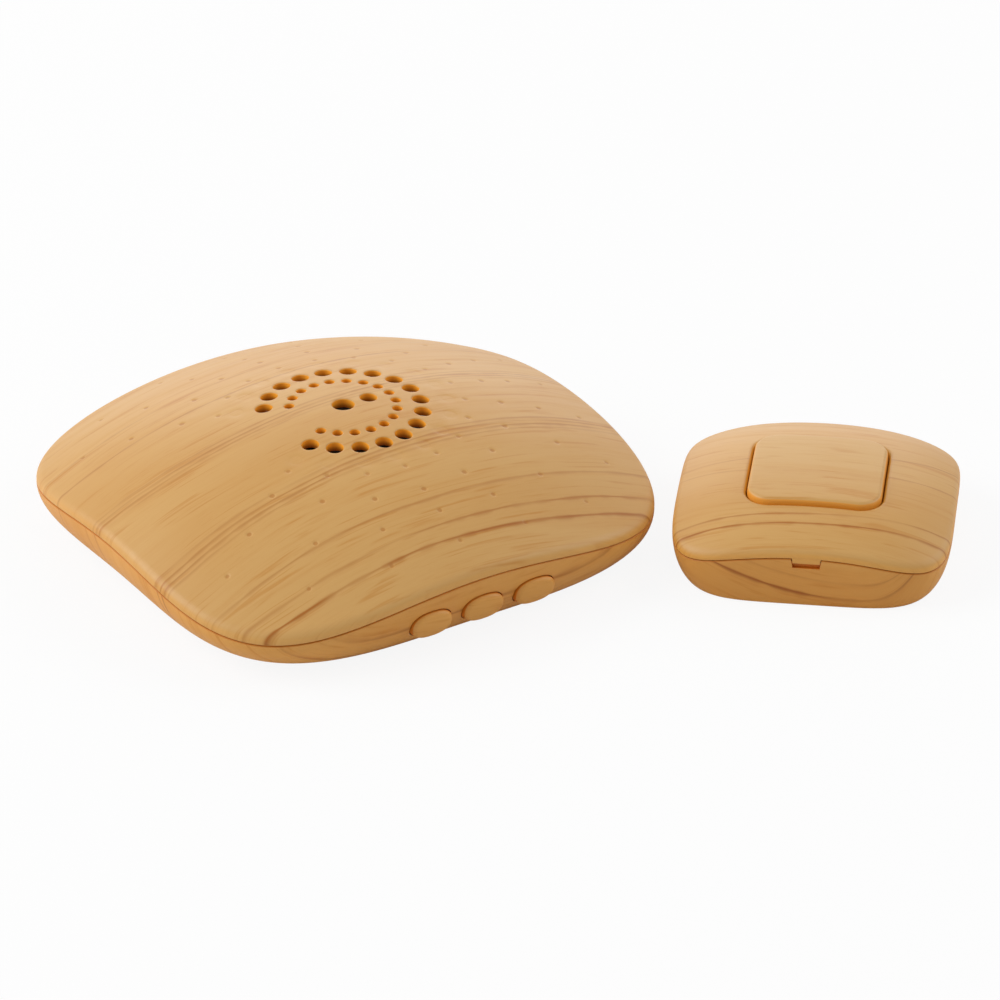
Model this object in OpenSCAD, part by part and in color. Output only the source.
// Wireless doorbell: a domed table chime with three side keys and a separate push button unit.
// The chime stands at the origin with its keys towards -Y. The button unit stands beside it.

/* [Chime case] */
// Width of the chime along its key side
chime_w = 115; // [113:0.5:122]
// Depth of the chime from its key side to its back
chime_d = 109; // [107:0.5:116]
// How square the plan is: 2 is an ellipse, more is squarer
chime_square = 3.64; // [3.5:0.02:4.2]
// Fall of the cover from its middle to the middle of a side
chime_crown = 13.7; // [12.5:0.1:14]
// Part of that fall that comes late, near the edge
chime_roll = 1.3; // [0.6:0.1:1.8]
// Extra fall towards the corners
chime_dip = 1.75; // [0.8:0.05:2]
// Height of the cover's edge above the parting line
chime_lip = 1.7; // [1.5:0.1:2.2]
// Radius of the cover's rounded edge
chime_edge = 1.5; // [1:0.1:1.6]
// How far the underside tucks in at left and right
chime_tuck_x = 16.9; // [15:0.1:17.5]
// How far the underside tucks in at front and back
chime_tuck_y = 10.2; // [9:0.1:10.6]
// Wall of the chime's cover and base
chime_wall = 2; // [1.6:0.1:2.2]
// Floor of the chime's base
chime_floor = 2; // [1.8:0.1:2.4]
// Screw posts: place along the width
post_x = 36; // [35:0.5:37]
// Screw posts: place along the depth
post_y = 32; // [30:0.5:33]
// Height of the joint between the base's posts and the cover's posts
post_split = 10; // [8:0.5:11]

/* [Parting line] */
// Open groove between a cover and its base
groove = 0.4; // [0.3:0.05:0.5]
// Thickness of the base's inner tongue
tongue_w = 1; // [0.8:0.1:1.2]
// Height of the tongue above the parting line
tongue_rise = 0.25; // [0.1:0.05:0.3]
// Sideways room between tongue and cover
tongue_gap = 0.2; // [0.15:0.05:0.3]

/* [Sound holes] */
// Diameter of the hole in the middle
hole_middle_d = 4.7; // [4:0.1:5]
// Diameter of the second hole, beside the middle
hole_second_d = 3.6; // [3:0.1:4]
// Place of the second hole along the width
hole_second_x = 6.2; // [5.6:0.1:6.4]
// Holes in each open ring
ring_holes = 17; // [9:2:17]
// Angle from one hole of a ring to the next
ring_step = 18.25; // [16:0.25:20]
// Radius of the outer ring
ring_outer_r = 16.6; // [15.8:0.1:17]
// Diameter of the outer ring's holes
ring_outer_d = 3.6; // [3:0.1:3.8]
// Radius of the inner ring
ring_inner_r = 11.3; // [10.8:0.1:11.8]
// Diameter of the inner ring's holes
ring_inner_d = 2.1; // [1.6:0.1:2.4]

/* [Speaker] */
// Outer diameter of the speaker's flange
speaker_d = 40; // [39:0.5:41]
// Depth from the flange's face to the back of the magnet
speaker_depth = 6; // [5.6:0.1:7]
// Thickness of the flange
speaker_flange = 1; // [0.8:0.1:1.2]
// Width of the flange
speaker_flange_w = 3.5; // [3:0.1:4]
// Diameter of the magnet
magnet_d = 17; // [16:0.5:20]
// Height of the magnet
magnet_h = 2.4; // [2.2:0.1:3]
// Diameter of the voice coil
coil_d = 10; // [9:0.2:10.4]
// Travel of the cone each way
cone_travel = 0.25; // [0.1:0.05:0.3]
// Height of the seat that the flange bears on
speaker_seat = 0.9; // [0.7:0.1:1.4]
// Thickness of the ring that clamps the speaker
retainer_t = 1.2; // [1:0.1:1.5]

/* [Chime cells] */
// Diameter of a cell
cell_d = 14.2; // [13.8:0.1:14.5]
// Length of a cell over its tip
cell_len = 50.5; // [49:0.1:51]
// Diameter of the cell's tip
tip_d = 5.5; // [5:0.1:6]
// Length of the cell's tip
tip_len = 1; // [0.8:0.1:1.4]
// Length of a fitted contact spring
spring_len = 6.7; // [6.2:0.1:7.4]
// Wire of the contact springs
spring_wire = 0.8; // [0.6:0.05:0.85]
// Thickness of the contact plates
contact_t = 0.4; // [0.3:0.05:0.5]
// Walls of the cell box
box_wall = 1.4; // [1.2:0.1:1.6]
// Thickness of the battery door
door_t = 1.6; // [1.4:0.1:1.8]
// Opening angle of the battery door
door_swing = 95; // [60:1:95]

/* [Side keys] */
// Width of a side key
side_key_w = 9.8; // [9:0.1:10.4]
// Height of a side key
side_key_h = 6; // [5.4:0.1:6.4]
// Distance from one side key to the next
side_key_pitch = 12.5; // [12:0.1:13]
// How far a side key stands proud of the wall
side_key_proud = 1.8; // [1.4:0.1:2.2]
// How far a side key sits below the middle of its switch
side_key_drop = 0.6; // [0:0.1:0.8]
// Room round a side key in its opening
side_key_gap = 0.25; // [0.2:0.05:0.35]
// Travel of a side key
side_key_travel = 0.5; // [0.25:0.05:0.6]

/* [Circuit boards] */
// Thickness of both circuit boards
board_t = 1.2; // [1:0.1:1.6]
// Width of the chime's board
board_w = 52; // [50:0.5:52.5]
// Back edge of the chime's board
board_back = -8; // [-9:0.5:-5]
// Height of the chime's board above the floor inside
board_lift = 2; // [1.8:0.1:2.4]
// Side of a push switch
switch_w = 6; // [5.6:0.1:6.4]
// Depth of a push switch
switch_t = 3.5; // [3.2:0.1:4]
// Diameter of a switch plunger
plunger_d = 3.5; // [3:0.1:3.6]

/* [Button unit] */
// Width of the button unit
button_w = 58.5; // [57:0.5:62]
// Depth of the button unit
button_d = 55.9; // [55:0.1:60]
// How square its plan is
button_square = 5; // [4.2:0.1:5.5]
// Fall of its cover to the middle of the left and right sides
button_crown_x = 5.1; // [4.4:0.1:5.3]
// Fall of its cover to the middle of the front and back sides
button_crown_y = 4.3; // [3.8:0.1:4.6]
// Part of the fall that comes late, near the edge
button_roll = 2.85; // [2.4:0.05:3]
// Extra fall towards the corners
button_dip = 2.3; // [1.6:0.1:2.4]
// Height of the cover's edge above the parting line
button_lip = 1.5; // [1.3:0.1:1.8]
// Radius of the cover's rounded edge
button_edge = 1.35; // [1:0.05:1.5]
// How far its underside tucks in at left and right
button_tuck_x = 4.2; // [3.4:0.1:4.6]
// How far its underside tucks in at front and back
button_tuck_y = 0.6; // [0.6:0.1:1.6]
// Wall of its cover and base
button_wall = 1.8; // [1.5:0.1:2]
// Floor of its base
button_floor = 1.6; // [1.4:0.1:2]
// Place of the unit beside the chime, along the chime's width
button_x = 80.6; // [79:0.1:100]
// Place of the unit beside the chime, along its depth
button_y = -58.1; // [-80:0.1:-56]
// Turn of the unit
button_turn = -40.3; // [-60:0.1:-20]
// Lift of the cover when it comes off its base
cover_lift = 20; // [10:1:30]
// Distance between the two wall screw holes
wall_hole_pitch = 45.4; // [44.8:0.1:46]
// Diameter of the wall screw holes
wall_hole_d = 3.4; // [3:0.1:3.8]
// Width of the pry notch in the base
notch_w = 6.4; // [5:0.1:8]
// Depth of the pry notch below the parting line
notch_h = 2.2; // [1.6:0.1:2.6]

/* [Push key] */
// Side of the square push key
push_key_w = 28; // [26:0.1:28.4]
// Corner radius of the push key
push_key_r = 5.2; // [3.5:0.1:6]
// Gap between the push key and the cover
push_key_gap = 0.6; // [0.4:0.05:0.7]
// How far the push key stands proud of the cover
push_key_proud = 1; // [0.6:0.05:1.2]
// Travel of the push key
push_key_travel = 0.5; // [0.3:0.05:0.6]
// Depth of the push key's skirt below the cover's middle
push_key_skirt = 4.05; // [3.9:0.05:4.6]
// Wall of the push key
push_key_wall = 1.4; // [1.2:0.1:1.8]

/* [Button cell] */
// Diameter of the button unit's cell
small_cell_d = 10.3; // [9.9:0.1:10.5]
// Length of that cell over its tip
small_cell_len = 28.5; // [28:0.1:29]
// Distance of the cell's axis behind the middle
small_cell_y = 13.5; // [13.2:0.1:13.8]
// Length of its fitted contact spring
small_spring_len = 4.6; // [4.4:0.1:5]
// Wire of that spring
small_spring_wire = 0.6; // [0.5:0.05:0.6]

/* [Hidden] */
$fn = 48;

// Fineness of the domed shells: points round the plan and rings up the dome
chime_stations = 64;
button_stations = 56;
dome_rings = 6;
// Heights at which the curved underside is drawn, as shares from the parting line (0) to the floor (1)
outer_steps = [0, 0.2, 0.4, 0.58, 0.74, 0.87, 0.96, 1];
inner_steps = [1, 0.93, 0.82, 0.68, 0.5, 0.25, 0];
// Sweep angles of the rounded cover edge
edge_angles = [30, 60, 90];

// Clearances
slack = 0.05;
seat_gap = 0.3;
overlap = 0.5;

// Shape of the tuck under each case: 2 is an ellipse
chime_tuck_power = 2;
button_tuck_power = 1.7;

// Case screws of the chime: thread, head and the post round them
screw_d = 2.9;
screw_head_d = 5.6;
screw_head_h = 2.2;
screw_sink = 4;
post_d = 7.2;
cover_post_d = 6.2;
screw_bite = 7;

// Small screws that hold the board and the speaker's clamp ring
small_screw_d = 2;
small_head_d = 3.8;
small_head_h = 1.4;
small_bite = 2.6;

// Heights in the chime, from the table up
door_low = 0.5;
door_top = door_low + door_t;
cell_z = door_top + seat_gap + cell_d / 2;
box_roof = cell_z + cell_d / 2 + seat_gap;
roof_t = 1.2;
box_top = box_roof + roof_t;
speaker_face = box_top + 1 + speaker_depth;
rib_r = speaker_d / 2 + 1.6;
chime_half = [chime_w / 2, chime_d / 2];
chime_crowns = [chime_crown, chime_crown];
rib_fall = fall_at(chime_half, chime_crowns, chime_roll, chime_dip, [rib_r, 0]);
chime_h = speaker_face + speaker_seat + rib_fall + chime_wall;
chime = [
    chime_half, chime_square, chime_h, chime_crowns, chime_roll, chime_dip, chime_lip, chime_edge,
    [chime_tuck_x, chime_tuck_y], chime_tuck_power, chime_wall, chime_floor, chime_stations];

// Cell box under the chime: two cells side by side, behind the middle
box_gap = 0.6;
cell_pitch = cell_d + 2 * seat_gap + 0.2;
box_front = 4.7;
cell_front_y = box_front + box_gap + cell_d / 2;
cell_rear_y = cell_front_y + cell_pitch;
box_back = cell_rear_y + cell_d / 2 + box_gap;
box_half = (cell_len + spring_len) / 2 + contact_t;
box_chamfer = 2.2;
contact_w = 9;
contact_h = 11;
tab_w = 3;
tab_rise = 0.9;

// Battery door: its hinge barrel lies along the box's front edge
hinge_r = door_t / 2;
hinge_y = box_front + hinge_r + seat_gap;
hinge_z = door_low + hinge_r;
hinge_bite = 1.1;
grip_slots = 3;
grip_pitch = 2.4;

// Chime board and what stands on it
board_z = chime_floor + board_lift;
board_top = board_z + board_t;
board_front = seat_gap - inner_y(chime, board_w / 2, board_z);
board_screw_x = board_w / 2 - 3.5;
board_screw_y = board_back - 5;
board_rest_y = board_front + 6;
board_post_d = 5;

// Side keys and their switches, from the wall inwards
side_key_places = [-side_key_pitch, 0, side_key_pitch];
side_key_z = board_top + switch_w / 2;
side_key_square = 2.4;
side_key_stations = 32;
side_key_dome = 0.6;
side_key_front = -wall_y(chime, side_key_z - side_key_drop) - side_key_proud;
key_flange_w = side_key_w + 2.4;
key_flange_low = side_key_h / 2 - 0.6;
key_flange_high = side_key_h / 2 + 1;
key_flange_t = 1;
flange_reach = side_key_pitch + key_flange_w / 2;
key_flange_y = 0.4 - inner_y(chime, flange_reach, side_key_z - key_flange_low);
switch_y = board_front + 0.2;
plunger_out = 1.1;
plunger_in = 0.9;
plunger_y = switch_y - plunger_out;
key_stem_d = 3;

// Speaker parts measured from the flange's face
speaker_r = speaker_d / 2;
flange_in = speaker_r - speaker_flange_w;
basket_t = 0.8;
magnet_top = magnet_h - speaker_depth;
groove_w = 0.6;
coil_t = 0.35;
cone_r = flange_in - seat_gap;
retainer_low = speaker_face - speaker_flange - retainer_t;
retainer_in = flange_in + 0.9;
ear_r = rib_r + 2.9;
ear_d = 5.4;
ear_angles = [90, 210, 330];

// Insulated leads: the routes lie in upright planes, as [run, height] pairs
lead_d = 1.2;
lead_sides = 8;
terminal_w = 9;
terminal_y = 3 - flange_in;
terminal_low = speaker_face - speaker_flange - 2.4;
speaker_lead_x = 2.5;
speaker_lead_run = [
    [0, terminal_low], [0, terminal_low - 1.5], [0.6, terminal_low - 5], [2.4, board_top + 7],
    [4, board_top + 3], [4.4, board_top + 1.2], [4.4, board_top]];
tab_top = box_top + tab_rise;
battery_lead_ends = [[-17, board_back - 2.5], [-13, board_back - 2.5]];

// Radio parts of the chime
module_w = 18;
module_t = 1.2;
module_h = 10;
module_x = board_w / 2 - 11;
module_y = -24;
aerial_x = 7 - board_w / 2;
aerial_y = -29;
aerial_r = 2.6;
aerial_wire = 0.8;
aerial_turns = 8;
aerial_len = 13;
chip_size = [10, 4, 1.6];
chip_place = [11, -33];
capacitor_d = 6.3;
capacitor_h = 9;
capacitor_place = [-7, -33];

// Heights in the button unit
small_cell_z = button_floor + 0.2 + small_cell_d / 2;
push_key_low = small_cell_z + small_cell_d / 2 + seat_gap + push_key_travel;
button_h = push_key_low + push_key_skirt;
button_half = [button_w / 2, button_d / 2];
button_crowns = [button_crown_x, button_crown_y];
button = [
    button_half, button_square, button_h, button_crowns, button_roll, button_dip, button_lip, button_edge,
    [button_tuck_x, button_tuck_y], button_tuck_power, button_wall, button_floor, button_stations];
button_front_part = button_h - button_crown_y - button_lip;

// Pry notch: slope of its sides, and the room left beside and below the cover's tab
notch_taper = 0.4;
notch_gap = 0.5;
notch_slot = 1.2;

// Button board and what stands on it
small_board_lift = 3.2;
small_board_z = button_floor + small_board_lift;
small_board_top = small_board_z + board_t;
small_board_w = 42;
small_board_front = -20;
small_board_back = small_cell_y - small_cell_d / 2 - 2.85;
small_post = [17, 2];
small_post_d = 4;
clip_t = 1.4;
clip_w = 5;
clip_y = -9;
clip_nose = 0.9;
clip_gap = 0.1;
button_switch_h = 3.6;
button_plunger_out = 1;
stem_low = small_board_top + button_switch_h + button_plunger_out + slack;
push_stem_d = 5;
push_key_top_t = 1.6;
push_key_stations = 40;
push_key_round = 0.7;
push_rim = 1.5;
push_rim_t = 0.8;
small_chip_size = [5, 4, 1.5];
small_chip_place = [-10, -11];
resonator_d = 8;
resonator_h = 2.6;
resonator_place = [11, -11];

// Cell holder of the button unit
holder_half = (small_cell_len + small_spring_len) / 2 + contact_t;
holder_wall = 1.4;
holder_rib = 0.8;
holder_rib_h = 3.9;
small_contact = [9, 9.5];
small_tail = [5, 1.4];
small_tip_d = 4.6;
small_tip_len = 1;

// Plain colours of the materials
wood_light = [0.84, 0.66, 0.42];
wood_dark = [0.78, 0.57, 0.32];
board_green = [0.10, 0.34, 0.18];
steel = [0.72, 0.72, 0.74];
dark = [0.10, 0.10, 0.11];

// Fall of a domed cover below its middle at a place p in plan
function fall_at(half, crown, roll, dip, p) =
    let (u = p.x / half.x, v = p.y / half.y)
    (crown.x - roll) * u * u + (crown.y - roll) * v * v + roll * (pow(u, 4) + pow(v, 4)) + dip * u * u * v * v;

// Height of a case's cover at a place p in plan
function top_z(s, p) = s[2] - fall_at(s[0], s[3], s[4], s[5], p);

// Points round a rounded square of the case, drawn in by an inset along X and Y
function ray(t, n) = pow(pow(abs(cos(t)), n) + pow(abs(sin(t)), n), -1 / n);
function ring_xy(half, n, count) =
    [for (i = [0 : count - 1]) let (t = 360 * i / count, r = ray(t, n)) [half.x * r * cos(t), half.y * r * sin(t)]];
function plan(s, inset) = ring_xy(s[0] - inset, s[1], s[12]);
function lift(ring, heights) = [for (i = [0 : len(ring) - 1]) [ring[i].x, ring[i].y, heights[i]]];
function level(ring, z) = [for (p = ring) [p.x, p.y, z]];

// Height of the parting line round the plan
function parting(s) = [for (p = plan(s, [0, 0])) top_z(s, p) - s[6]];

// Share of the tuck reached at a step u from the parting line (0) to the floor (1)
function sag(u, power) = 1 - pow(1 - pow(u, power), 1 / power);

// Reach of the wall along Y at a height, at the middle of the front: outside, and inside at a place x
function front_rim(s) = s[2] - s[3].y - s[6] - groove;
function wall_y(s, z) = s[0].y - s[8].y * sag(1 - z / front_rim(s), s[9]);
function inner_rim(s) = front_rim(s) - tongue_root(s);
function inner_sag(s, z) = sag(1 - (z - s[11]) / (inner_rim(s) - s[11]), s[9]);
function inner_half(s, z) = [s[0].x - s[10] - s[8].x * inner_sag(s, z), s[0].y - s[10] - s[8].y * inner_sag(s, z)];
function inner_y(s, x, z) = let (h = inner_half(s, z)) h.y * pow(1 - pow(x / h.x, s[1]), 1 / s[1]);
function tongue_root(s) = s[10] * 0.8;

// Rings of a cover, from the middle of its dome over the edge and back inside
function dome(s, ring, drop) =
    [for (k = [1 : dome_rings]) [for (p = ring) let (q = p * k / dome_rings) [q.x, q.y, top_z(s, q) - drop]]];
function backwards(list) = [for (k = [len(list) - 1 : -1 : 0]) list[k]];
function cover_rings(s) =
    let (
        edge = s[7],
        shoulder = plan(s, [edge, edge]),
        inner = plan(s, [s[10], s[10]]),
        part = parting(s),
        bend = [for (g = edge_angles)
            lift(plan(s, [1, 1] * edge * (1 - sin(g))), [for (p = shoulder) top_z(s, p) - edge * (1 - cos(g))])])
    concat(
        dome(s, shoulder, 0),
        bend,
        [lift(plan(s, [0, 0]), part)],
        [lift(inner, part)],
        backwards(dome(s, inner, s[10])));

// Rings of a base, from the middle of its floor inside, over the tongue and rim, to its underside
function base_rings(s) =
    let (
        wall = s[10],
        floor_z = s[11],
        part = parting(s),
        rim = [for (z = part) z - groove],
        root = [for (z = rim) z - tongue_root(s)],
        tongue = [for (z = part) z + tongue_rise],
        outside = wall + tongue_gap,
        inside = outside + tongue_w,
        flat = plan(s, s[8] + [wall, wall]))
    concat(
        [level(flat / 2, floor_z)],
        [for (u = inner_steps)
            lift(plan(s, [wall, wall] + s[8] * sag(u, s[9])), [for (z = root) floor_z + (z - floor_z) * (1 - u)])],
        [lift(plan(s, [inside, inside]), [for (z = rim) z - overlap])],
        [lift(plan(s, [inside, inside]), tongue)],
        [lift(plan(s, [outside, outside]), tongue)],
        [lift(plan(s, [outside, outside]), rim)],
        [for (u = outer_steps) lift(plan(s, s[8] * sag(u, s[9])), [for (z = rim) z * (1 - u)])],
        [level(plan(s, s[8]) / 2, 0)]);

// A closed skin through rings of points, closed at both ends by a middle point
module loft(rings, first, last) {
    n = len(rings[0]);
    count = len(rings);
    points = concat([for (r = rings) each r], [first, last]);
    sides = [for (k = [0 : count - 2], i = [0 : n - 1])
        let (a = k * n + i, b = k * n + (i + 1) % n, c = b + n, d = a + n)
        each [[a, b, c], [a, c, d]]];
    start = [for (i = [0 : n - 1]) [n * count, (i + 1) % n, i]];
    end = [for (i = [0 : n - 1]) let (k = (count - 1) * n) [n * count + 1, k + i, k + (i + 1) % n]];
    polyhedron(points, concat(start, sides, end), convexity = 6);
}

// A round wire along a path; side gives, at each point, a direction across the wire
function unit(v) = v / norm(v);
function heading(path, i) = unit(path[min(i + 1, len(path) - 1)] - path[max(i - 1, 0)]);
function wire_ring(path, side, i, r, sides) =
    let (t = heading(path, i), b = unit(cross(t, side[i])), n = cross(b, t))
    [for (k = [0 : sides - 1]) let (a = -360 * k / sides) path[i] + r * (cos(a) * n + sin(a) * b)];
module wire(path, side, d, sides = 6) {
    last = len(path) - 1;
    loft([for (i = [0 : last]) wire_ring(path, side, i, d / 2, sides)], path[0], path[last]);
}

// Path of a coil along Z: a straight end, the turns from radius r0 to r1, and a straight end
coil_steps = 8;
function coil_path(r0, r1, len, turns, wire_d) =
    let (n = turns * coil_steps)
    concat(
        [[r0, 0, 0]],
        [for (i = [0 : n]) let (a = 360 * i / coil_steps, r = r0 + (r1 - r0) * i / n)
            [r * cos(a), r * sin(a), wire_d + (len - 2 * wire_d) * i / n]],
        [[r1 * cos(360 * turns), r1 * sin(360 * turns), len]]);
function outward(path) = [for (p = path) unit([p.x, p.y, 0])];

// Least open gap between points of a coil that lie half a turn or more apart
function coil_gap(path, wire_d) =
    min([for (i = [0 : len(path) - 1], k = [i + coil_steps / 2 : 1 : len(path) - 1]) norm(path[i] - path[k])]) - wire_d;
module coil(name, r0, r1, len, turns, wire_d) {
    path = coil_path(r0, r1, len, turns, wire_d);
    echo(str("least gap in ", name), coil_gap(path, wire_d));
    wire(path, outward(path), wire_d);
}

// Plain shapes that repeat
module tube(r_out, r_in, low, high) {
    translate([0, 0, low]) difference() {
        cylinder(r = r_out, h = high - low);
        translate([0, 0, -1]) cylinder(r = r_in, h = high - low + 2);
    }
}
module block(low, high) {
    translate(low) cube(high - low);
}
module round_square(w, r, h) {
    linear_extrude(h) {
        square([w, w - 2 * r], center = true);
        square([w - 2 * r, w], center = true);
        for (x = [-1, 1], y = [-1, 1]) translate([x, y] * (w / 2 - r)) circle(r);
    }
}
module at_posts() {
    for (x = [-post_x, post_x], y = [-post_y, post_y]) translate([x, y, 0]) children();
}
module at_ears() {
    for (a = ear_angles) rotate(a) translate([ear_r, 0, 0]) children();
}
module at_board_screws() {
    for (x = [-board_screw_x, board_screw_x]) translate([x, board_screw_y, 0]) children();
}
module screw(thread, length, head, head_h) {
    cylinder(d = thread, h = length);
    translate([0, 0, -head_h]) cylinder(d = head, h = head_h);
}
module facing_front() {
    rotate([90, 0, 0]) children();
}
module at_button() {
    translate([button_x, button_y, 0]) rotate(button_turn) children();
}

// Chime: cover with its sound holes, speaker seat and screw posts
module sound_holes() {
    cylinder(d = hole_middle_d, h = 2 * chime_h);
    translate([hole_second_x, 0, 0]) cylinder(d = hole_second_d, h = 2 * chime_h);
    first = (ring_holes - 1) / 2;
    for (k = [-first : first]) rotate(k * ring_step) {
        translate([ring_outer_r, 0, 0]) cylinder(d = ring_outer_d, h = 2 * chime_h);
        translate([ring_inner_r, 0, 0]) cylinder(d = ring_inner_d, h = 2 * chime_h);
    }
}
module ear_post(place) {
    low = speaker_face - speaker_flange;
    translate([place.x, place.y, low]) cylinder(d = ear_d, h = top_z(chime, place) - chime_wall + overlap - low);
}
module chime_cover() {
    post_top = top_z(chime, [post_x, post_y]) - chime_wall + 0.2;
    seat_top = speaker_face + speaker_seat + overlap;
    color(wood_light) difference() {
        union() {
            loft(cover_rings(chime), [0, 0, chime_h], [0, 0, chime_h - chime_wall]);
            tube(rib_r, speaker_r - 1.8, speaker_face, seat_top);
            tube(rib_r, speaker_r + 0.2, speaker_face - speaker_flange, speaker_face + overlap);
            for (a = ear_angles) ear_post(ear_r * [cos(a), sin(a)]);
            at_posts() translate([0, 0, post_split]) cylinder(d = cover_post_d, h = post_top - post_split);
        }
        translate([0, 0, speaker_face]) sound_holes();
        at_posts() translate([0, 0, post_split - 1]) cylinder(d = screw_d + 2 * slack, h = screw_bite + 1);
        at_ears() translate([0, 0, speaker_face - speaker_flange - 1])
            cylinder(d = small_screw_d + 2 * slack, h = small_bite + 1);
    }
}

// Chime: base with cell box, screw posts, board posts and side key openings
module cell_box() {
    difference() {
        block([-box_half - box_wall, box_front - box_wall, chime_floor / 2],
            [box_half + box_wall, box_back + box_wall, box_top]);
        translate([0, box_back + box_wall, box_top]) rotate([45, 0, 0])
            cube([chime_w, box_chamfer * sqrt(2), box_chamfer * sqrt(2)], center = true);
    }
}
module side_key_outline(gap) {
    polygon(ring_xy([side_key_w / 2 + gap, side_key_h / 2 + gap], side_key_square, side_key_stations));
}
module chime_base() {
    color(wood_dark) difference() {
        union() {
            loft(base_rings(chime), [0, 0, chime_floor], [0, 0, 0]);
            cell_box();
            at_posts() translate([0, 0, chime_floor / 2]) cylinder(d = post_d, h = post_split - chime_floor / 2);
            for (x = [-board_screw_x, board_screw_x], y = [board_screw_y, board_rest_y])
                translate([x, y, chime_floor / 2]) cylinder(d = board_post_d, h = board_z - chime_floor / 2);
        }
        block([-box_half, box_front, -1], [box_half, box_back, box_roof]);
        for (side = [-1, 1]) translate([side * (box_half + (hinge_bite - overlap) / 2), hinge_y, hinge_z])
            rotate([0, 90, 0]) cylinder(r = hinge_r + slack, h = hinge_bite + overlap + 0.2, center = true);
        for (y = [cell_front_y, cell_rear_y])
            block([-box_half, y - tab_w / 2 - 0.2, box_roof - 1], [0.2 + contact_t - box_half, y + tab_w / 2 + 0.2, box_top + 1]);
        at_posts() {
            translate([0, 0, -1]) cylinder(d = screw_head_d + 0.6, h = screw_sink + 1);
            cylinder(d = screw_d + 0.3, h = post_split + 1);
        }
        at_board_screws() translate([0, 0, board_z - small_bite])
            cylinder(d = small_screw_d + 2 * slack, h = small_bite + 1);
        for (x = side_key_places) translate([x, 0, side_key_z - side_key_drop])
            facing_front() translate([0, 0, inner_y(chime, 0, chime_floor + 1)])
            linear_extrude(chime_d) side_key_outline(side_key_gap);
    }
}

// Chime: battery door with its hinge barrel and finger grip
module battery_door() {
    reach = box_half - seat_gap;
    color(wood_dark) difference() {
        union() {
            block([-reach, hinge_y, door_low], [reach, box_back - seat_gap, door_top]);
            translate([0, hinge_y, hinge_z]) rotate([0, 90, 0])
                cylinder(r = hinge_r, h = 2 * (box_half + hinge_bite), center = true);
        }
        for (k = [1 : grip_slots]) translate([0, box_back - 2 - k * grip_pitch, door_low])
            cube([14, 1.2, 0.8], center = true);
    }
}
module case_screws() {
    color(steel) at_posts() translate([0, 0, screw_sink]) screw(screw_d, post_split + screw_bite - screw_sink - 0.5,
        screw_head_d, screw_head_h);
}

// Chime: side keys with the switches behind them
module side_key(x) {
    length = key_flange_y - side_key_front;
    bottom = -key_flange_y;
    half = [side_key_w, side_key_h] / 2;
    crown = [for (a = [75, 50, 25, 0]) level(ring_xy(half * cos(a), side_key_square, side_key_stations),
        bottom + length - side_key_dome * (1 - sin(a)))];
    color(wood_dark) translate([x, 0, side_key_z]) facing_front() {
        translate([0, -side_key_drop, 0])
            loft(concat(crown, [level(ring_xy(half, side_key_square, side_key_stations), bottom)]),
                [0, 0, bottom + length], [0, 0, bottom]);
        block([-key_flange_w / 2, -key_flange_low, bottom - key_flange_t],
            [key_flange_w / 2, key_flange_high, bottom]);
        translate([0, 0, -plunger_y]) cylinder(d = key_stem_d, h = plunger_y - key_flange_y);
    }
}
module side_key_left() {
    side_key(side_key_places[0]);
}
module side_key_middle() {
    side_key(side_key_places[1]);
}
module side_key_right() {
    side_key(side_key_places[2]);
}
module key_plunger(x) {
    color(dark) translate([x, plunger_y, side_key_z]) rotate([-90, 0, 0])
        cylinder(d = plunger_d, h = plunger_out + plunger_in);
}
module key_plunger_left() {
    key_plunger(side_key_places[0]);
}
module key_plunger_middle() {
    key_plunger(side_key_places[1]);
}
module key_plunger_right() {
    key_plunger(side_key_places[2]);
}
module key_switch(x) {
    color(steel) difference() {
        block([x - switch_w / 2, switch_y, board_top], [x + switch_w / 2, switch_y + switch_t, board_top + switch_w]);
        translate([x, switch_y - 1, side_key_z]) rotate([-90, 0, 0])
            cylinder(d = plunger_d + 2 * slack, h = 1 + plunger_in + side_key_travel + 0.2);
    }
}
module key_switch_left() {
    key_switch(side_key_places[0]);
}
module key_switch_middle() {
    key_switch(side_key_places[1]);
}
module key_switch_right() {
    key_switch(side_key_places[2]);
}

// Chime: circuit board and radio parts
module main_board() {
    color(board_green) difference() {
        block([-board_w / 2, board_front, board_z], [board_w / 2, board_back, board_top]);
        at_board_screws() translate([0, 0, board_z - 1]) cylinder(d = small_screw_d + 0.3, h = board_t + 2);
    }
}
module board_screws() {
    color(steel) at_board_screws() translate([0, 0, board_top]) mirror([0, 0, 1])
        screw(small_screw_d, board_t + small_bite - 0.4, small_head_d, small_head_h);
}
module radio_module() {
    color(board_green) block([module_x - module_w / 2, module_y - module_t / 2, board_top],
        [module_x + module_w / 2, module_y + module_t / 2, board_top + module_h]);
    color(steel) block([module_x - 5, module_y - module_t / 2 - 2, board_top + 2],
        [module_x + 3, module_y - module_t / 2, board_top + module_h - 2]);
}
module antenna_coil() {
    color("peru") translate([aerial_x, aerial_y, board_top])
        coil("antenna_coil", aerial_r, aerial_r, aerial_len, aerial_turns, aerial_wire);
}
module chip(size, legs) {
    color(dark) translate([-size.x / 2, -size.y / 2, 0.2]) cube(size);
    color(steel) for (k = [0 : legs - 1], side = [-1, 1])
        translate([(k + 0.5) * size.x / legs - size.x / 2, side * (size.y / 2 + 0.4), 0.35])
        cube([0.5, 1.2, 0.7], center = true);
}
module melody_chip() {
    translate([chip_place.x, chip_place.y, board_top]) chip(chip_size, 7);
}
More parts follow.
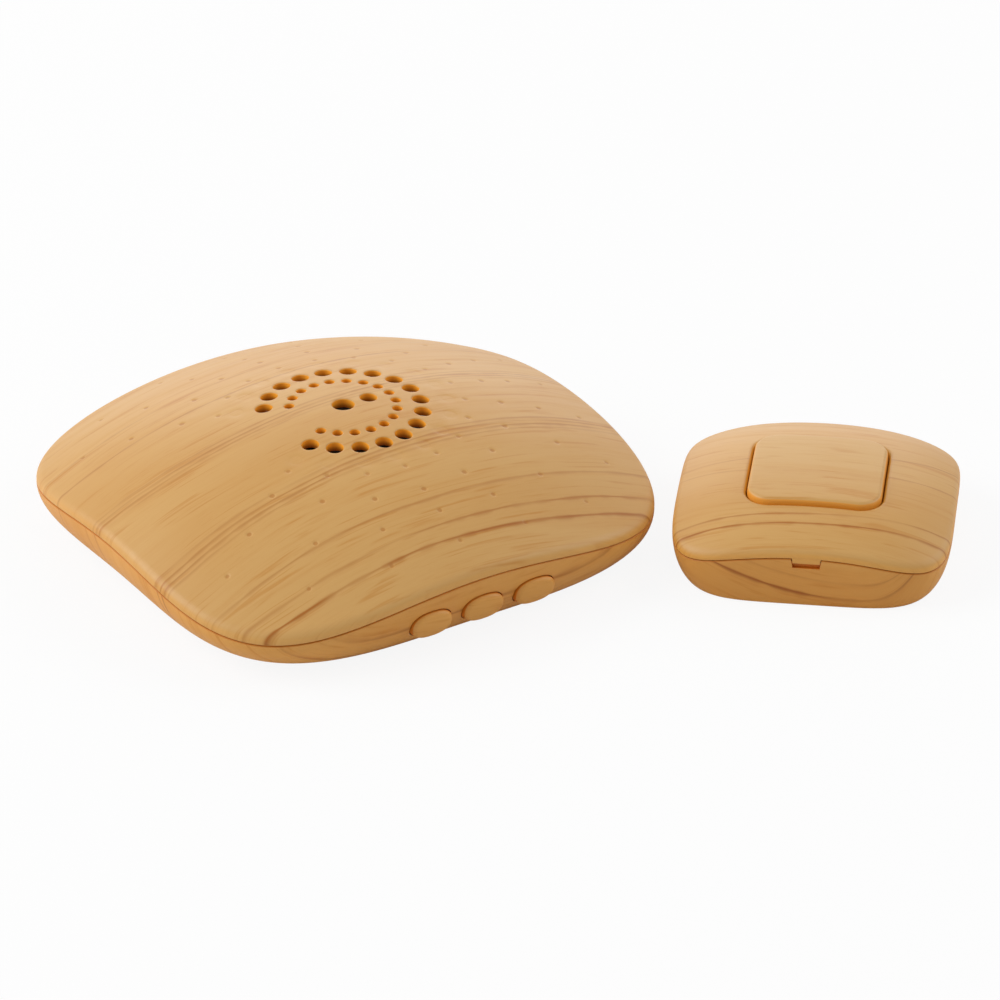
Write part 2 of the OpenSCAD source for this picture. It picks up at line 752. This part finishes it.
module filter_capacitor() {
    color("midnightblue") translate([capacitor_place.x, capacitor_place.y, board_top]) rotate_extrude()
        polygon([[0, 0], [capacitor_d / 2, 0], [capacitor_d / 2, 1], [capacitor_d / 2 - 0.3, 1.3],
            [capacitor_d / 2 - 0.3, 1.7], [capacitor_d / 2, 2], [capacitor_d / 2, capacitor_h - 0.4],
            [capacitor_d / 2 - 0.4, capacitor_h], [0, capacitor_h]]);
}

// Chime: speaker, its clamp ring and its leads
module speaker_frame() {
    floor_z = magnet_top;
    color(steel) translate([0, 0, speaker_face]) {
        rotate_extrude() polygon([
            [flange_in, 0], [speaker_r, 0], [speaker_r, -speaker_flange], [flange_in + 0.8, -speaker_flange],
            [magnet_d / 2 + 1.1, floor_z], [coil_d / 2 + 1.5, floor_z], [coil_d / 2 + 1.5, floor_z + basket_t],
            [magnet_d / 2 + 0.7, floor_z + basket_t], [flange_in, -speaker_flange + 0.1]]);
        block([-terminal_w / 2, terminal_y - 3, terminal_low - speaker_face],
            [terminal_w / 2, terminal_y + 2, terminal_low - speaker_face + 1.1]);
    }
}
module speaker_magnet() {
    r = magnet_d / 2;
    slot = coil_d / 2 - coil_t / 2;
    color(dark) translate([0, 0, speaker_face]) rotate_extrude() polygon([
        [0, -speaker_depth], [r - 0.3, -speaker_depth], [r, 0.3 - speaker_depth], [r, magnet_top],
        [slot + groove_w, magnet_top], [slot + groove_w, 1 - speaker_depth], [slot - groove_w, 1 - speaker_depth],
        [slot - groove_w, magnet_top], [0, magnet_top]]);
}
module speaker_cone() {
    r = coil_d / 2;
    neck = magnet_top + 1.5;
    low = 1.8 - speaker_depth;
    color([0.2, 0.19, 0.18]) translate([0, 0, speaker_face]) rotate_extrude() polygon([
        [cone_r, -0.5], [cone_r, -0.15], [cone_r - 0.8, 0.15], [cone_r - 1.6, -0.15], [r, neck],
        [r / 2, neck + 0.8], [0, neck + 1.1], [0, neck + 0.75], [r / 2, neck + 0.45], [r - coil_t, neck - 0.25],
        [r - coil_t, low], [r, low], [r, neck - 0.35], [cone_r - 1.7, -0.5], [cone_r - 0.8, -0.2]]);
}
module speaker_retainer() {
    color("ivory") difference() {
        union() {
            translate([0, 0, retainer_low]) cylinder(r = rib_r, h = retainer_t);
            at_ears() translate([0, 0, retainer_low]) cylinder(d = ear_d, h = retainer_t);
            for (a = ear_angles) rotate(a) block([speaker_r, -ear_d / 2, retainer_low],
                [ear_r, ear_d / 2, retainer_low + retainer_t]);
        }
        translate([0, 0, retainer_low - 1]) cylinder(r = retainer_in, h = retainer_t + 2);
        at_ears() translate([0, 0, retainer_low - 1]) cylinder(d = small_screw_d + 0.3, h = retainer_t + 2);
    }
}
module retainer_screws() {
    color(steel) at_ears() translate([0, 0, retainer_low])
        screw(small_screw_d, retainer_t + small_bite - 0.4, small_head_d, small_head_h);
}

// A lead that starts over a point, runs towards another and follows [run, height] pairs
module lead(start, towards, route) {
    dir = unit(towards - start);
    path = [for (p = route) [start.x + dir.x * p.x, start.y + dir.y * p.x, p.y]];
    across = [-dir.y, dir.x, 0];
    wire(path, [for (p = path) across], lead_d, lead_sides);
}
module speaker_leads() {
    color("firebrick") for (x = [-speaker_lead_x, speaker_lead_x])
        lead([x, terminal_y - 2], [x, terminal_y - 3], speaker_lead_run);
}
module battery_leads() {
    starts = [[contact_t / 2 - box_half, cell_front_y], [contact_t / 2 - box_half, cell_rear_y]];
    over = tab_top + 1;
    color("firebrick") for (k = [0, 1]) let (run = norm(battery_lead_ends[k] - starts[k]), turn = run - 11)
        lead(starts[k], battery_lead_ends[k], [
            [0, tab_top], [0, tab_top + 0.6], [0.6, over], [2.5, over], [turn - 3, over], [turn, over - 0.6],
            [turn + 4, over - 4], [run - 1.2, board_top + 4], [run, board_top + 1.4], [run, board_top]]);
}

// Chime: cells, contact plates and springs
module cell(diameter, length, end_d, end_len) {
    r = diameter / 2;
    body = length - end_len;
    rotate([0, 90, 0]) rotate_extrude() polygon([
        [0, 0], [r - 0.4, 0], [r, 0.4], [r, body - 0.6], [r - 0.6, body], [end_d / 2, body],
        [end_d / 2, length - 0.3], [end_d / 2 - 0.3, length], [0, length]]);
}
module cell_front() {
    color("goldenrod") translate([box_half - contact_t - cell_len, cell_front_y, cell_z])
        cell(cell_d, cell_len, tip_d, tip_len);
}
module cell_rear() {
    color("goldenrod") translate([cell_len + contact_t - box_half, cell_rear_y, cell_z]) rotate(180)
        cell(cell_d, cell_len, tip_d, tip_len);
}
module cell_spring(name) {
    color(steel) rotate([0, 90, 0]) coil(name, 4.4, 3.4, spring_len, 4, spring_wire);
}
module spring_front() {
    translate([contact_t - box_half, cell_front_y, cell_z]) cell_spring("spring_front");
}
module spring_rear() {
    translate([box_half - contact_t, cell_rear_y, cell_z]) rotate(180) cell_spring("spring_rear");
}
module end_contact(y) {
    color(steel) block([-box_half, y - contact_w / 2, cell_z - contact_h / 2],
        [contact_t - box_half, y + contact_w / 2, cell_z + contact_h / 2]);
    color(steel) block([-box_half, y - tab_w / 2, cell_z], [contact_t - box_half, y + tab_w / 2, tab_top]);
}
module contact_minus() {
    end_contact(cell_front_y);
}
module contact_plus() {
    end_contact(cell_rear_y);
}
module contact_link() {
    color(steel) block([box_half - contact_t, cell_front_y - contact_w / 2, cell_z - contact_h / 2],
        [box_half, cell_rear_y + contact_w / 2, cell_z + contact_h / 2]);
}

// Button unit: cover with the opening for the push key and the tab that reaches into the pry notch
module button_cover() {
    opening = push_key_w + 2 * push_key_gap;
    color(wood_light) at_button() {
        difference() {
            loft(cover_rings(button), [0, 0, button_h], [0, 0, button_h - button_wall]);
            translate([0, 0, push_key_low]) round_square(opening, push_key_r + push_key_gap, 2 * push_key_skirt);
        }
        block([notch_gap - notch_w / 2, seat_gap - button_half.y, button_front_part + notch_slot - notch_h],
            [notch_w / 2 - notch_gap, button_wall - button_half.y, button_front_part + overlap]);
    }
}

// Button unit: base with the pry notch, cell holder, board posts, clips and wall screw holes
module pry_notch() {
    high = notch_w / 2;
    low = high - notch_taper;
    translate([0, overlap - button_half.y + button_wall, button_front_part]) facing_front()
        linear_extrude(button_wall + 1)
        polygon([[-high, 0], [-low, -notch_h], [low, -notch_h], [high, 0], [high, button_h], [-high, button_h]]);
}
module holder() {
    low = button_floor / 2;
    end_w = small_contact.x / 2 + 0.4;
    for (side = [-1, 1]) {
        x = side * (holder_half + holder_wall / 2);
        block([x - holder_wall / 2, small_cell_y - end_w, low], [x + holder_wall / 2, small_cell_y + end_w, small_cell_z + 3]);
        y = small_cell_y + side * (small_cell_d / 2 + seat_gap + holder_rib / 2);
        block([-8, y - holder_rib / 2, low], [8, y + holder_rib / 2, button_floor + holder_rib_h]);
    }
}
module board_clips() {
    for (side = [-1, 1]) {
        x = side * (small_board_w / 2 + clip_gap + clip_t / 2);
        translate([x, clip_y, (button_floor / 2 + small_board_top + 1.2) / 2])
            cube([clip_t, clip_w, small_board_top + 1.2 - button_floor / 2], center = true);
        translate([x - side * clip_nose / 2, clip_y, small_board_top + clip_gap + 0.5])
            cube([clip_t + clip_nose, clip_w, 1], center = true);
    }
}
module button_base() {
    color(wood_dark) at_button() difference() {
        union() {
            loft(base_rings(button), [0, 0, button_floor], [0, 0, 0]);
            holder();
            board_clips();
            for (x = [-small_post.x, small_post.x], y = [small_board_front + 3, small_post.y])
                translate([x, y, button_floor / 2]) cylinder(d = small_post_d, h = small_board_z - button_floor / 2);
        }
        for (y = [-wall_hole_pitch, wall_hole_pitch] / 2)
            translate([0, y, -1]) cylinder(d = wall_hole_d, h = button_floor + 2);
        pry_notch();
    }
}

// Button unit: push key with its skirt, the rim that holds it in the cover, and stem
function key_ring(inset) =
    let (w = push_key_w / 2 - inset, r = max(push_key_r - inset, 0.5), n = push_key_stations / 4)
    [for (q = [0 : 3], i = [0 : n - 1]) let (a = 90 * (q + i / (n - 1)), c = 90 * q + 45, k = (w - r) * sqrt(2))
        [k * cos(c) + r * cos(a), k * sin(c) + r * sin(a)]];
function key_top(ring, drop) = [for (p = ring) [p.x, p.y, top_z(button, p) + push_key_proud - drop]];
module push_key() {
    edge = key_ring(push_key_round);
    crown = [for (k = [0.3, 0.6, 0.85]) key_top(edge * k, 0)];
    bend = [for (g = [0, 30, 60, 90]) key_top(key_ring(push_key_round * (1 - sin(g))), push_key_round * (1 - cos(g)))];
    inner = key_ring(push_key_wall);
    color(wood_light) at_button() {
        loft(concat(
            crown,
            bend,
            [level(key_ring(0), push_key_low)],
            [level(inner, push_key_low)],
            [key_top(inner, push_key_top_t)],
            [key_top(inner / 2, push_key_top_t)]),
            [0, 0, button_h + push_key_proud], [0, 0, button_h + push_key_proud - push_key_top_t]);
        translate([0, 0, stem_low])
            cylinder(d = push_stem_d, h = button_h + push_key_proud - push_key_top_t + overlap - stem_low);
        translate([0, 0, push_key_low]) difference() {
            round_square(push_key_w + 2 * push_rim, push_key_r + push_rim, push_rim_t);
            translate([0, 0, -1]) round_square(push_key_w - push_key_wall, push_key_r - push_key_wall / 2, push_rim_t + 2);
        }
    }
}
module button_plunger() {
    color(dark) at_button() translate([0, 0, stem_low - slack - button_plunger_out - plunger_in])
        cylinder(d = plunger_d, h = button_plunger_out + plunger_in);
}
module button_switch() {
    top = small_board_top + button_switch_h;
    depth = plunger_in + push_key_travel + 0.2;
    color(steel) at_button() difference() {
        block([-switch_w / 2, -switch_w / 2, small_board_top], [switch_w / 2, switch_w / 2, top]);
        translate([0, 0, top - depth]) cylinder(d = plunger_d + 2 * slack, h = depth + 1);
    }
}
module button_board() {
    color(board_green) at_button() block([-small_board_w / 2, small_board_front, small_board_z],
        [small_board_w / 2, small_board_back, small_board_top]);
}
module encoder_chip() {
    at_button() translate([small_chip_place.x, small_chip_place.y, small_board_top]) chip(small_chip_size, 4);
}
module resonator() {
    color(steel) at_button() translate([resonator_place.x, resonator_place.y, small_board_top]) rotate_extrude()
        polygon([[0, 0], [resonator_d / 2 + 0.4, 0], [resonator_d / 2 + 0.4, 0.4], [resonator_d / 2, 0.4],
            [resonator_d / 2, resonator_h - 0.4], [resonator_d / 2 - 0.4, resonator_h], [0, resonator_h]]);
}

// Button unit: cell, spring and contacts
module small_cell() {
    color("slategray") at_button() translate([holder_half - contact_t - small_cell_len, small_cell_y, small_cell_z])
        cell(small_cell_d, small_cell_len, small_tip_d, small_tip_len);
}
module small_spring() {
    color(steel) at_button() translate([contact_t - holder_half, small_cell_y, small_cell_z]) rotate([0, 90, 0])
        coil("small_spring", 3.2, 2.4, small_spring_len, 3, small_spring_wire);
}
module small_end_contact(x) {
    tail_y = small_cell_y - small_contact.x / 2 + overlap;
    color(steel) at_button() {
        block([x, small_cell_y - small_contact.x / 2, small_cell_z - small_contact.y / 2],
            [x + contact_t, small_cell_y + small_contact.x / 2, small_cell_z + small_contact.y / 2]);
        block([x, tail_y - small_tail.x - overlap, small_board_top], [x + contact_t, tail_y, small_board_top + small_tail.y]);
    }
}
module small_contact_minus() {
    small_end_contact(-holder_half);
}
module small_contact_plus() {
    small_end_contact(holder_half - contact_t);
}

chime_cover();
chime_base();
battery_door();
case_screws();
side_key_left();
side_key_middle();
side_key_right();
key_plunger_left();
key_plunger_middle();
key_plunger_right();
key_switch_left();
key_switch_middle();
key_switch_right();
main_board();
board_screws();
radio_module();
antenna_coil();
melody_chip();
filter_capacitor();
speaker_frame();
speaker_magnet();
speaker_cone();
speaker_retainer();
retainer_screws();
speaker_leads();
cell_front();
cell_rear();
spring_front();
spring_rear();
contact_minus();
contact_plus();
contact_link();
battery_leads();
button_cover();
button_base();
push_key();
button_plunger();
button_switch();
button_board();
encoder_chip();
resonator();
small_cell();
small_spring();
small_contact_minus();
small_contact_plus();
